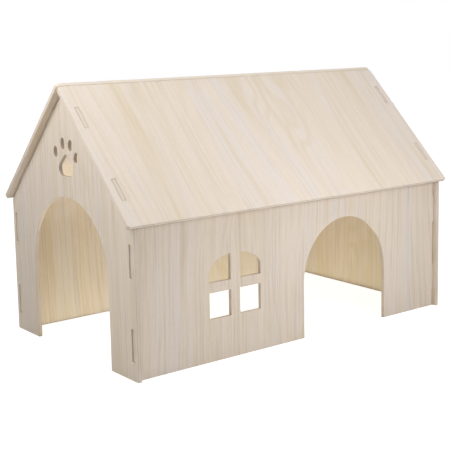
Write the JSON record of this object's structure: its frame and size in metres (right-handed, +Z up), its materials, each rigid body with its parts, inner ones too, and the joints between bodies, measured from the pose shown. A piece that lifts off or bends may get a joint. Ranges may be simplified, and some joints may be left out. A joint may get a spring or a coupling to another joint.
{
  "type": "hamster house",
  "caption": "Flat-pack plywood hamster hideout: gabled house with lift-off roof panels, arched end and side doorways, a paned window and a paw-print air hole.",
  "frame": {"origin": "on the ground at the middle of the house", "axes": "+X along the ridge from the front gable with the arched doorway to the rear gable, +Y across to the plain side wall, +Z up"},
  "size_m": [0.3112, 0.1814, 0.1981],
  "materials": {
    "gable_plywood": "bare sanded pale plywood, grain upright",
    "wall_plywood": "bare sanded pale plywood, grain upright",
    "roof_plywood": "bare sanded pale plywood, grain down the slope"
  },
  "bodies": {
    "house": {"front_gable": "gable_plywood", "rear_gable": "gable_plywood", "window_side_wall": "wall_plywood", "plain_side_wall": "wall_plywood"},
    "window_side_roof": {"window_side_roof_panel": "roof_plywood"},
    "plain_side_roof": {"plain_side_roof_panel": "roof_plywood"}
  },
  "joints": [
    {"name": "window_side_roof_lift", "type": "slide", "parent": "house", "child": "window_side_roof", "axis": [0, -0.7071, 0.7071], "range_m": [0, 0.08]},
    {"name": "plain_side_roof_lift", "type": "slide", "parent": "house", "child": "plain_side_roof", "axis": [0, 0.7071, 0.7071], "range_m": [0, 0.08]}
  ]
}
